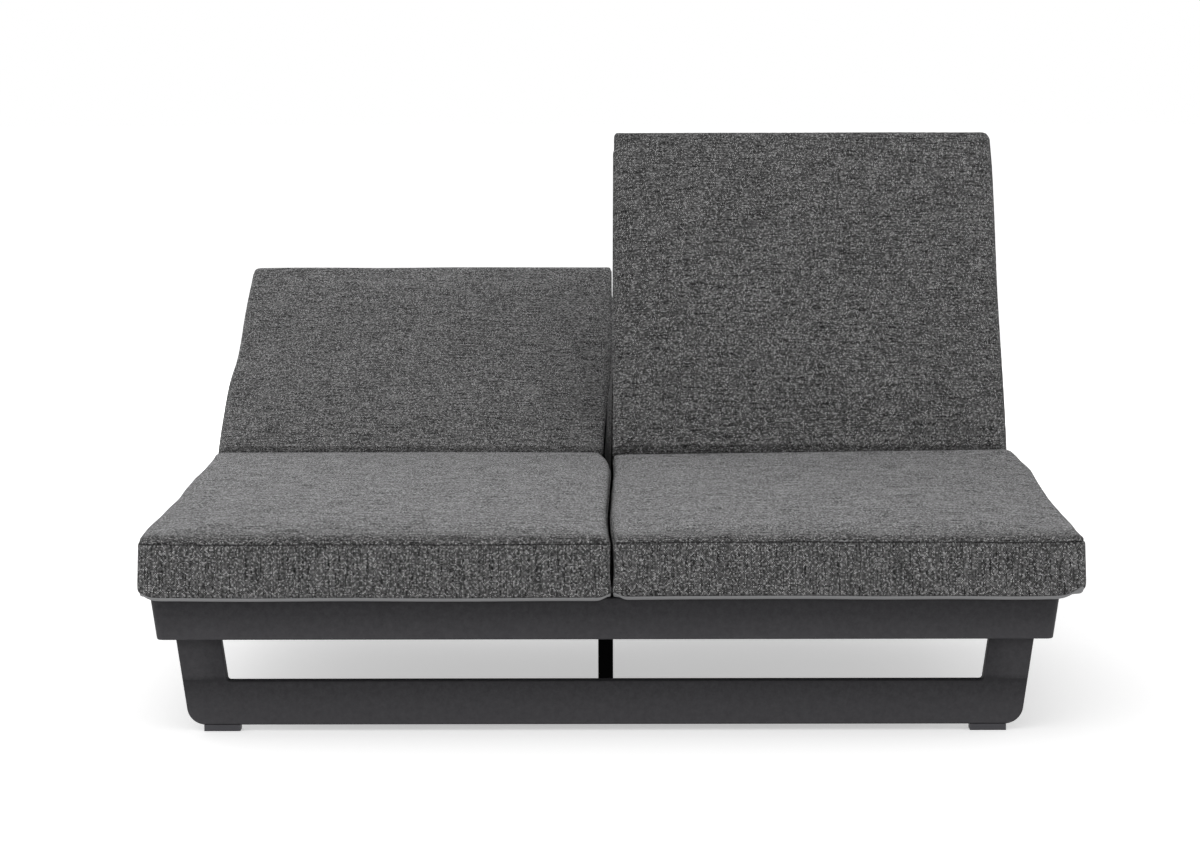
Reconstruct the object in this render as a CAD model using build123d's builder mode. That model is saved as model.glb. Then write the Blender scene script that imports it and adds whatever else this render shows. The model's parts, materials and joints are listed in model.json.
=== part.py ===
from build123d import *
import os
from math import acos, cos, radians, sin, tan

# Double sun lounger, in millimetres. X runs across, +Y from the foot end to the backrests, Z up.
# The origin lies on the floor below the middle of the whole lounger.

# Overall sizes
seat_length = 1246.0
back_length = 764.0
cushion_width = 740.0
cushion_gap = 4.0
cushion_shift = 8.0
deck_height = 218.0
hinge_drop = 20.0

# Cushions
cushion_side_height = 90.0
cushion_crown = 11.0
end_crown = 4.0
side_bulge = 4.0
side_draw = 7.0
soft_clearance = 0.3
fold_clearance = 3.0

# Leaning apron and the tubes of the deck
cushion_side_overhang = 35.5
apron_height = 68.0
apron_setback = 25.0
lean_angle = 8.2
profile_thick = 27.0
profile_wall = 2.0
profile_round = 3.0
apron_corner_round = 10.0
beam_width = 30.0
slat_width = 70.0
slat_thick = 15.0
slat_wall = 1.5
slat_round = 2.5
slat_count = 12
slat_gap = 7.0
slat_end_gap = 1.0
bearer_width = 20.0
bearer_thick = 5.0

# Sled leg frames
leg_width = 70.0
leg_drop = 34.0
foot_height = 10.0
sled_outer_round = 30.0
sled_inner_round = 5.0
foot_length = 57.0
foot_place = 605.5
post_size = 25.0
post_wall = 2.0
post_place = 450.0
post_foot_size = 31.0
post_foot_height = 8.0

# Backrest frames
back_frame_depth = 28.0
back_cushion_overhang = 52.0
back_tube_width = 25.0
back_tube_end = 12.0
back_tube_round = 8.0
back_tube_wall = 2.0
beam_gap = 3.0
side_gap = 6.0
cross_tube_width = 20.0
bottom_tube_place = 25.0
middle_tube_place = 232.0
upper_tube_inset = 92.0
back_slat_width = 65.0
back_slat_thick = 10.0
back_slat_wall = 1.2
back_slat_start = 50.0
back_slat_gap = 5.0
back_slat_count = 7

# Hinges
bracket_thick = 6.0
bracket_reach = 30.0
ear_radius = 14.0
flange_width = 20.0
flange_thick = 4.0
hinge_bolt = 8.0
hinge_bush_wall = 2.0
hinge_head_width = 17.0
head_height = 5.0
nut_height = 6.0
tube_nut = 11.5
bush_flange = 0.9
bush_flange_rim = 2.0
pivot_gap = 1.0
running_clearance = 0.05
bracket_screw = 5.0
bracket_screw_head = 9.0
bracket_screw_spacing = 15.0
screw_head_height = 3.0
screw_reach = 9.0
hole_clearance = 0.1

# Prop stays and notched racks: the stay is as long as its pivot stands from the hinge,
# so its foot bar travels level along the racks
stay_reach = 280.0
arm_width = 16.0
arm_thick = 5.0
stay_bolt = 8.0
stay_bush_wall = 1.4
stay_head_width = 13.0
stay_head_height = 4.0
foot_bar = 12.0
foot_bar_wall = 1.5
sleeve_diameter = 19.0
sleeve_length = 22.0
first_notch_distance = 509.2
notch_spacing = 69.7
notch_count = 5
notch_depth = 6.0
notch_ramp = 34.0
rack_clearance = 0.3
rack_thick = 8.0
rack_height = 35.0
rack_inset = 65.0
rack_step_depth = 3.2
rack_step_margin = 8.0
bumper_length = 24.0

# Leg bolts and foot screws
leg_bolt = 6.0
leg_bolt_head = 10.0
leg_bolt_drop = 53.0
leg_bolt_spacing = 12.0
foot_screw = 5.0
foot_screw_head = 10.0
foot_screw_depth = 4.0
foot_screw_spacing = 34.0

# One overrun for every cut that passes through
overrun = 50.0

# Notches in front of the first one, where each foot bar sits
left_notch_count = 0
right_notch_count = 3

# Places that follow from the sizes above
lounger_length = seat_length + back_length
apron_width = 2 * (cushion_width - cushion_side_overhang)
back_frame_length = back_length - back_cushion_overhang
upper_tube_place = back_frame_length - upper_tube_inset - cross_tube_width
lean = tan(radians(lean_angle))
tilt = radians(lean_angle)
apron_bottom = deck_height - apron_height
overhang = apron_setback - apron_height * lean
frame_centre = overhang / 2
apron_half = lounger_length / 2 - apron_setback
cushion_front = frame_centre - lounger_length / 2
hinge_y = cushion_front + seat_length
hinge_z = deck_height - hinge_drop
crossbar_back = hinge_y - bracket_reach
crossbar_front = crossbar_back - profile_thick
leg_top = deck_height - leg_drop
frame_bottom = hinge_drop - back_frame_depth
slat_underside = deck_height - slat_thick


def notch_place(number):
    return first_notch_distance - number * notch_spacing


def rest_angle(number):
    return acos(notch_place(number) / (2 * stay_reach))


fold_angle = rest_angle(notch_count - 1)


def outer_x(height):
    return apron_width / 2 + (height - apron_bottom) * lean


def inner_x(height):
    return outer_x(height) - profile_thick


def outer_y(height):
    return apron_half + (height - apron_bottom) * lean


def inner_y(height):
    return outer_y(height) - profile_thick


back_inner_x = beam_width / 2 + beam_gap
back_outer_x = inner_x(deck_height - back_frame_depth) - side_gap
tube_faces = (back_inner_x + back_tube_width, back_outer_x - back_tube_width)
bay_middle = sum(tube_faces) / 2
bay_width = tube_faces[1] - tube_faces[0]
rack_places = (tube_faces[0] + rack_inset, tube_faces[1] - rack_inset)
rack_top = hinge_z - sleeve_diameter / 2 - rack_clearance
frame_plane = Plane.XZ.offset(-frame_centre)


def back_face(angle):
    """Plane through the hinge axis: X across, Y up the backrest, Z out of its face."""
    return Plane(origin=(0, hinge_y, hinge_z), x_dir=(1, 0, 0), z_dir=(0, -sin(angle), cos(angle)))


def stay_face(angle):
    """The same for the stay: its Y runs from the stay's pivot down to its foot."""
    pivot = back_face(angle).from_local_coords(Vector(0, stay_reach, 0))
    return Plane(origin=pivot, x_dir=(1, 0, 0), z_dir=(0, sin(angle), cos(angle)))


def slice_plane(face, x):
    """Section of a face at x: its local X runs up the face, its local Y out of it."""
    return Plane(origin=face.from_local_coords(Vector(x, 0, 0)), x_dir=face.y_dir, z_dir=face.x_dir)


def end_plane(face, x, along, out):
    """Section square to the face's length: local X across, local Y out of the face."""
    return Plane(
        origin=face.from_local_coords(Vector(x, along, out)),
        x_dir=face.x_dir,
        z_dir=face.y_dir * -1,
    )


def seats(face, along, side):
    """Planes on the two side tubes' inner faces, at this height, that look into the bay."""
    return [
        Plane(origin=face.from_local_coords(Vector(side * x, along, 0)), z_dir=face.x_dir * (side * way))
        for x, way in zip(tube_faces, (1, -1))
    ]


def raised(planes, height):
    return [plane.offset(height) for plane in planes]


def save(piece, name):
    piece.part.label = name
    export_step(piece.part, f"parts/{name}.step")


def cushion_section(plane, width, height, crown):
    """Closed outline with bulging sides and a crowned top, standing on the plane's X axis."""
    with BuildSketch(plane) as section:
        with BuildLine():
            Line((side_bulge - width / 2, 0), (width / 2 - side_bulge, 0))
            ThreePointArc(
                (width / 2 - side_bulge, 0), (width / 2, height / 2), (width / 2 - side_bulge, height)
            )
            ThreePointArc(
                (width / 2 - side_bulge, height), (0, height + crown), (side_bulge - width / 2, height)
            )
            ThreePointArc(
                (side_bulge - width / 2, height), (-width / 2, height / 2), (side_bulge - width / 2, 0)
            )
        make_face()
    return section.sketch


def mitre(x, y, way_x, way_y):
    return Plane(origin=(x, y, 0), z_dir=(way_x, way_y, 0))


os.makedirs("parts", exist_ok=True)



def apron_sections(inset, low, high, corner):
    """Outlines at two heights whose sides lie this far inside the leaning apron's outer faces."""
    sections = []
    for height in (low, high):
        wide, long = 2 * (outer_x(height) - inset), 2 * (outer_y(height) - inset)
        with BuildSketch(Plane(origin=(0, frame_centre, height))) as section:
            Rectangle(wide, long)
            if corner:
                fillet(vertices(), radius=corner + (height - apron_bottom) * lean - inset)
        sections.append(section.sketch)
    return sections


# The apron is one ring of leaning hollow profile with rounded corners, mitred into four rails
wall_across = profile_wall / cos(tilt)
hollow_heights = (apron_bottom + profile_wall, deck_height - profile_wall)

with BuildPart() as apron_hollow:
    loft(apron_sections(wall_across, *hollow_heights, apron_corner_round), ruled=True)
    loft(apron_sections(profile_thick - wall_across, *hollow_heights, 0), ruled=True, mode=Mode.SUBTRACT)

with BuildPart() as apron_ring:
    loft(apron_sections(0, apron_bottom, deck_height, apron_corner_round), ruled=True)
    loft(apron_sections(profile_thick, apron_bottom, deck_height, 0), ruled=True, mode=Mode.SUBTRACT)
    fillet(edges().filter_by(lambda edge: edge.bounding_box().size.Z < profile_wall), radius=profile_round)
    add(apron_hollow.part, mode=Mode.SUBTRACT)

with BuildPart() as front_apron_rail:
    add(apron_ring.part)
    for way in (1, -1):
        split(bisect_by=mitre(-way * apron_width / 2, frame_centre - apron_half, way, -1), keep=Keep.TOP)
save(front_apron_rail, "front_apron_rail")

with BuildPart() as rear_apron_rail:
    mirror(front_apron_rail.part, about=frame_plane)
save(rear_apron_rail, "rear_apron_rail")

# Each leg is held by two bolts that run square to the leaning inner face of the side rail
leg_middle = inner_y(apron_bottom) - profile_thick / 2
bolt_seats = [
    Plane(
        origin=(inner_x(height), frame_centre + end * leg_middle, height),
        z_dir=(cos(tilt), 0, -sin(tilt)),
    )
    for height in (
        deck_height - leg_bolt_drop - leg_bolt_spacing / 2,
        deck_height - leg_bolt_drop + leg_bolt_spacing / 2,
    )
    for end in (-1, 1)
]

with BuildPart() as right_apron_rail:
    add(apron_ring.part)
    for way in (1, -1):
        split(bisect_by=mitre(apron_width / 2, frame_centre + way * apron_half, 1, -way), keep=Keep.TOP)
    with BuildSketch(*raised(bolt_seats, -profile_wall)):
        Circle(leg_bolt / 2 + hole_clearance)
    extrude(amount=3 * profile_wall, mode=Mode.SUBTRACT)
save(right_apron_rail, "right_apron_rail")

with BuildPart() as left_apron_rail:
    mirror(right_apron_rail.part, about=Plane.YZ)
save(left_apron_rail, "left_apron_rail")

# The centre beam runs between the two leaning end rails
with BuildPart() as centre_beam:
    with BuildSketch(Plane.YZ):
        with BuildLine():
            Polyline(
                (frame_centre - inner_y(apron_bottom), apron_bottom),
                (frame_centre - inner_y(deck_height), deck_height),
                (frame_centre + inner_y(deck_height), deck_height),
                (frame_centre + inner_y(apron_bottom), apron_bottom),
                close=True,
            )
        make_face()
    extrude(amount=beam_width / 2, both=True)
    with BuildSketch(frame_plane):
        with Locations((0, (deck_height + apron_bottom) / 2)):
            Rectangle(beam_width - 2 * profile_wall, apron_height - 2 * profile_wall)
    extrude(amount=lounger_length / 2, both=True, mode=Mode.SUBTRACT)
save(centre_beam, "centre_beam")

# The hinge crossbar closes each seat bay, and the bracket screws go into its rear face
screw_heights = (-bracket_screw_spacing / 2, bracket_screw_spacing / 2)
flange_places = [
    x + way * (pivot_gap + bracket_thick + flange_width / 2) for x, way in zip(tube_faces, (1, -1))
]

with BuildPart() as right_hinge_crossbar:
    with BuildSketch(Plane.XZ.offset(-(crossbar_front + crossbar_back) / 2)):
        with BuildLine():
            Polyline(
                (beam_width / 2, apron_bottom),
                (beam_width / 2, deck_height),
                (inner_x(deck_height), deck_height),
                (inner_x(apron_bottom), apron_bottom),
                close=True,
            )
        make_face()
    extrude(amount=profile_thick / 2, both=True)
    with BuildSketch(Plane.YZ):
        with Locations(((crossbar_front + crossbar_back) / 2, (deck_height + apron_bottom) / 2)):
            Rectangle(profile_thick - 2 * profile_wall, apron_height - 2 * profile_wall)
    extrude(amount=apron_width, mode=Mode.SUBTRACT)
    with BuildSketch(Plane.XZ.offset(-(crossbar_back - profile_wall / 2))):
        with Locations([(x, hinge_z + height) for x in flange_places for height in screw_heights]):
            Circle(bracket_screw / 2 + hole_clearance)
    extrude(amount=profile_wall, both=True, mode=Mode.SUBTRACT)
save(right_hinge_crossbar, "right_hinge_crossbar")

with BuildPart() as left_hinge_crossbar:
    mirror(right_hinge_crossbar.part, about=Plane.YZ)
save(left_hinge_crossbar, "left_hinge_crossbar")

# Seat slats lie on flat bearers along the side rail and the centre beam
slat_first = frame_centre - inner_y(slat_underside) + slat_gap + slat_width / 2
slat_last = crossbar_front - slat_gap - slat_width / 2
slat_pitch = (slat_last - slat_first) / (slat_count - 1)
slat_start_x = beam_width / 2 + slat_end_gap
slat_end_x = inner_x(slat_underside) - slat_end_gap

with BuildPart() as right_seat_slats:
    with BuildSketch(Plane.YZ.offset((slat_start_x + slat_end_x) / 2)):
        with Locations(
            [(slat_first + number * slat_pitch, deck_height - slat_thick / 2) for number in range(slat_count)]
        ):
            RectangleRounded(slat_width, slat_thick, slat_round)
            Rectangle(slat_width - 2 * slat_wall, slat_thick - 2 * slat_wall, mode=Mode.SUBTRACT)
    extrude(amount=(slat_end_x - slat_start_x) / 2, both=True)
save(right_seat_slats, "right_seat_slats")

with BuildPart() as left_seat_slats:
    mirror(right_seat_slats.part, about=Plane.YZ)
save(left_seat_slats, "left_seat_slats")

bearer_bottom = slat_underside - bearer_thick
bearer_front = frame_centre - inner_y(bearer_bottom)
with BuildPart() as right_slat_bearers:
    with BuildSketch(Plane.XZ.offset(-(bearer_front + crossbar_front) / 2)):
        with Locations((beam_width / 2 + bearer_width / 2, slat_underside - bearer_thick / 2)):
            Rectangle(bearer_width, bearer_thick)
        with BuildLine():
            Polyline(
                (inner_x(slat_underside), slat_underside),
                (inner_x(bearer_bottom), bearer_bottom),
                (inner_x(bearer_bottom) - bearer_width, bearer_bottom),
                (inner_x(bearer_bottom) - bearer_width, slat_underside),
                close=True,
            )
        make_face()
    extrude(amount=(crossbar_front - bearer_front) / 2, both=True)
save(right_slat_bearers, "right_slat_bearers")

with BuildPart() as left_slat_bearers:
    mirror(right_slat_bearers.part, about=Plane.YZ)
save(left_slat_bearers, "left_slat_bearers")

# Each sled is one U of flat tube, mitred between the floor rail and its two leaning legs
rail_bottom = foot_height
rail_top = foot_height + leg_width


def sled_half(height, inset):
    return inner_x(height) - inset / cos(tilt)


def sled_outline(inset, top):
    far = leg_width - inset
    low = rail_bottom + inset
    high = rail_top - inset
    right = [
        (sled_half(low, inset), low),
        (sled_half(top, inset), top),
        (sled_half(top, far), top),
        (sled_half(high, far), high),
    ]
    left = [(-x, z) for x, z in reversed(right)]
    with BuildSketch(Plane.XZ.offset(-(frame_centre - leg_middle))) as outline:
        with BuildLine():
            Polyline(*right, *left, close=True)
        make_face()
        fillet(vertices().group_by(Axis.Y)[1], radius=sled_inner_round + inset)
        fillet(vertices().group_by(Axis.Y)[0], radius=sled_outer_round - inset)
    return outline.sketch


foot_points = [
    (way * foot_place + side * foot_screw_spacing / 2, frame_centre - leg_middle)
    for way in (-1, 1)
    for side in (-1, 1)
]

sled_outside = sled_outline(0, leg_top)
sled_inside = sled_outline(profile_wall, leg_top + overrun)

with BuildPart() as sled:
    extrude(sled_outside, amount=profile_thick / 2, both=True)
    long_edges = edges().filter_by(lambda edge: edge.bounding_box().size.Y < profile_round)
    fillet(long_edges.filter_by(lambda edge: edge.center().Z < leg_top - profile_round), radius=profile_round)
    extrude(sled_inside, amount=profile_thick / 2 - profile_wall, both=True, mode=Mode.SUBTRACT)
    with BuildSketch(Plane.XY.offset(rail_bottom)):
        with Locations(foot_points):
            Circle(foot_screw / 2 + hole_clearance)
    extrude(amount=profile_wall, both=True, mode=Mode.SUBTRACT)
    with BuildSketch(*[seat for seat in bolt_seats if seat.origin.Y < frame_centre]):
        Circle(leg_bolt / 2 + hole_clearance)
    holes = extrude(amount=-leg_width - overrun, mode=Mode.PRIVATE)
    add(holes, mode=Mode.SUBTRACT)
    mirror(holes, about=Plane.YZ, mode=Mode.SUBTRACT)

# The mitre of the sled runs from its outer corner to its inner corner
outer_corner = (sled_half(rail_bottom, 0), rail_bottom)
inner_corner = (sled_half(rail_top, leg_width), rail_top)
sled_mitre = Plane(
    origin=(outer_corner[0], 0, outer_corner[1]),
    z_dir=(inner_corner[1] - outer_corner[1], 0, outer_corner[0] - inner_corner[0]),
)
left_mitre = Plane(
    origin=(-outer_corner[0], 0, outer_corner[1]),
    z_dir=(outer_corner[1] - inner_corner[1], 0, outer_corner[0] - inner_corner[0]),
)

with BuildPart() as front_sled_rail:
    add(sled.part)
    split(bisect_by=sled_mitre, keep=Keep.BOTTOM)
    split(bisect_by=left_mitre, keep=Keep.BOTTOM)
save(front_sled_rail, "front_sled_rail")

with BuildPart() as rear_sled_rail:
    mirror(front_sled_rail.part, about=frame_plane)
save(rear_sled_rail, "rear_sled_rail")

with BuildPart() as front_right_leg:
    add(sled.part)
    split(bisect_by=sled_mitre, keep=Keep.TOP)
save(front_right_leg, "front_right_leg")

with BuildPart() as front_left_leg:
    mirror(front_right_leg.part, about=Plane.YZ)
save(front_left_leg, "front_left_leg")

with BuildPart() as rear_right_leg:
    mirror(front_right_leg.part, about=frame_plane)
save(rear_right_leg, "rear_right_leg")

with BuildPart() as rear_left_leg:
    mirror(front_left_leg.part, about=frame_plane)
save(rear_left_leg, "rear_left_leg")

# Bolts pass through both walls of a leg into the side rail, with a nut behind its wall
with BuildPart() as leg_bolts:
    with BuildSketch(*raised(bolt_seats, -leg_width)):
        Circle(leg_bolt / 2)
    extrude(amount=leg_width + profile_wall + nut_height)
    with BuildSketch(*raised(bolt_seats, -leg_width)):
        RegularPolygon(leg_bolt_head / 2, 6)
    extrude(amount=-head_height)
    with BuildSketch(*raised(bolt_seats, profile_wall)):
        RegularPolygon(leg_bolt_head / 2, 6)
    extrude(amount=nut_height)
    mirror(about=Plane.YZ)
save(leg_bolts, "leg_bolts")

all_foot_points = foot_points + [(x, 2 * frame_centre - y) for x, y in foot_points]
with BuildPart() as foot_pads:
    with BuildSketch():
        with Locations([(way * foot_place, frame_centre + end * leg_middle) for way in (-1, 1) for end in (-1, 1)]):
            Rectangle(foot_length, profile_thick)
        with Locations(all_foot_points):
            Circle(foot_screw / 2 + hole_clearance, mode=Mode.SUBTRACT)
    extrude(amount=foot_height)
    with BuildSketch():
        with Locations(all_foot_points):
            Circle(foot_screw_head / 2 + hole_clearance)
    extrude(amount=foot_screw_depth, mode=Mode.SUBTRACT)
save(foot_pads, "foot_pads")

with BuildPart() as foot_screws:
    with BuildSketch(Plane.XY.offset(foot_screw_depth)):
        with Locations(all_foot_points):
            Circle(foot_screw / 2)
    extrude(amount=foot_height - foot_screw_depth + screw_reach)
    with BuildSketch(Plane.XY.offset(foot_screw_depth)):
        with Locations(all_foot_points):
            Circle(foot_screw_head / 2)
    extrude(amount=-screw_head_height)
save(foot_screws, "foot_screws")

# Two square posts carry the centre beam
with BuildPart() as front_centre_post:
    with BuildSketch(Plane.XY.offset(post_foot_height)):
        with Locations((0, cushion_front + post_place)):
            Rectangle(post_size, post_size)
            Rectangle(post_size - 2 * post_wall, post_size - 2 * post_wall, mode=Mode.SUBTRACT)
    extrude(amount=apron_bottom - post_foot_height)
save(front_centre_post, "front_centre_post")

with BuildPart() as rear_centre_post:
    mirror(front_centre_post.part, about=frame_plane)
save(rear_centre_post, "rear_centre_post")

with BuildPart() as centre_post_feet:
    with BuildSketch():
        with Locations((0, cushion_front + post_place)):
            RectangleRounded(post_foot_size, post_foot_size, profile_round)
    extrude(amount=post_foot_height)
    mirror(about=frame_plane)
save(centre_post_feet, "centre_post_feet")

# Notched racks: round seats with a long ramp in front of each, where the foot bar climbs out
seat_radius = sleeve_diameter / 2 + rack_clearance
notch_places = [hinge_y + notch_place(number) for number in range(notch_count)]
notch_places.append(hinge_y + 2 * stay_reach)
rack_bottom = rack_top - rack_height
low_top = rack_top - rack_step_depth
low_start = hinge_y + back_frame_length - back_tube_width - rack_step_margin

with BuildPart() as right_racks:
    with BuildSketch(*[Plane.YZ.offset(x) for x in rack_places]):
        with BuildLine():
            Polyline(
                (crossbar_back, rack_bottom),
                (crossbar_back, rack_top),
                (low_start, rack_top),
                (low_start, low_top),
                (frame_centre + inner_y(low_top), low_top),
                (frame_centre + inner_y(rack_bottom), rack_bottom),
                close=True,
            )
        make_face()
        for place in notch_places:
            with Locations((place, rack_top - notch_depth + seat_radius)):
                Circle(seat_radius, mode=Mode.SUBTRACT)
            Polygon(
                (place, rack_top - notch_depth),
                (place, rack_top + seat_radius),
                (place - notch_ramp, rack_top + seat_radius),
                (place - notch_ramp, rack_top),
                align=None,
                mode=Mode.SUBTRACT,
            )
    extrude(amount=rack_thick / 2, both=True)
save(right_racks, "right_racks")

with BuildPart() as left_racks:
    mirror(right_racks.part, about=Plane.YZ)
save(left_racks, "left_racks")

bumper_middle = hinge_y + back_frame_length - back_tube_width / 2
bumper_top = hinge_z + frame_bottom - soft_clearance
with BuildPart() as rear_bumpers:
    with BuildSketch(Plane.XY.offset(low_top)):
        with Locations([(way * x, bumper_middle) for way in (-1, 1) for x in rack_places]):
            Rectangle(rack_thick, bumper_length)
    extrude(amount=bumper_top - low_top)
save(rear_bumpers, "rear_bumpers")

# Hinge brackets, bushes and screws of both backrests stay with the deck
bush_radius = hinge_bolt / 2 + running_clearance + hinge_bush_wall
level = back_face(0)

with BuildPart() as right_hinge_brackets:
    ears = [plane.offset(pivot_gap + bracket_thick / 2) for plane in seats(level, 0, 1)]
    with BuildSketch(*[Plane.YZ.offset(plane.origin.X) for plane in ears]):
        with Locations((hinge_y, hinge_z)):
            Circle(ear_radius)
        with Locations((hinge_y - bracket_reach / 2, hinge_z)):
            Rectangle(bracket_reach, 2 * ear_radius)
        with Locations((hinge_y, hinge_z)):
            Circle(bush_radius, mode=Mode.SUBTRACT)
    extrude(amount=bracket_thick / 2, both=True)
    with BuildSketch(Plane.XZ.offset(-crossbar_back)):
        with Locations([(x, hinge_z) for x in flange_places]):
            Rectangle(flange_width, 2 * ear_radius)
        with Locations([(x, hinge_z + height) for x in flange_places for height in screw_heights]):
            Circle(bracket_screw / 2 + hole_clearance, mode=Mode.SUBTRACT)
    extrude(amount=-flange_thick)
save(right_hinge_brackets, "right_hinge_brackets")

with BuildPart() as left_hinge_brackets:
    mirror(right_hinge_brackets.part, about=Plane.YZ)
save(left_hinge_brackets, "left_hinge_brackets")

with BuildPart() as bracket_screws:
    screw_points = [
        (way * x, hinge_z + height) for way in (-1, 1) for x in flange_places for height in screw_heights
    ]
    with BuildSketch(Plane.XZ.offset(-crossbar_back - flange_thick)):
        with Locations(screw_points):
            Circle(bracket_screw_head / 2)
    extrude(amount=-screw_head_height)
    with BuildSketch(Plane.XZ.offset(-crossbar_back - flange_thick)):
        with Locations(screw_points):
            Circle(bracket_screw / 2)
    extrude(amount=flange_thick + screw_reach)
save(bracket_screws, "bracket_screws")


def pivot_bushes(planes, bore, wall, width):
    """Flanged sleeves: pressed into the moving or fixed plate, flange towards the tube."""
    with BuildPart() as bushes:
        with BuildSketch(*raised(planes, pivot_gap)):
            Circle(bore / 2 + running_clearance + wall)
            Circle(bore / 2 + running_clearance, mode=Mode.SUBTRACT)
        extrude(amount=width)
        with BuildSketch(*raised(planes, pivot_gap)):
            Circle(bore / 2 + running_clearance + wall + bush_flange_rim)
            Circle(bore / 2 + running_clearance, mode=Mode.SUBTRACT)
        extrude(amount=-bush_flange)
    return bushes


def pivot_bolts(planes, size, head, head_thick, width):
    """Bolts from a nut inside the side tube to a head beyond the pivoting plate."""
    with BuildPart() as bolts:
        with BuildSketch(*raised(planes, -back_tube_wall - nut_height)):
            Circle(size / 2)
        extrude(amount=back_tube_wall + nut_height + 2 * pivot_gap + width)
        with BuildSketch(*raised(planes, 2 * pivot_gap + width)):
            Circle(head / 2)
        extrude(amount=head_thick)
        with BuildSketch(*raised(planes, -back_tube_wall)):
            RegularPolygon(tube_nut / 2, 6)
        extrude(amount=-nut_height)
    return bolts


# The cushions part at the plane that halves the backrest's steepest angle
cushion_real = cushion_width - cushion_gap / 2

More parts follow.
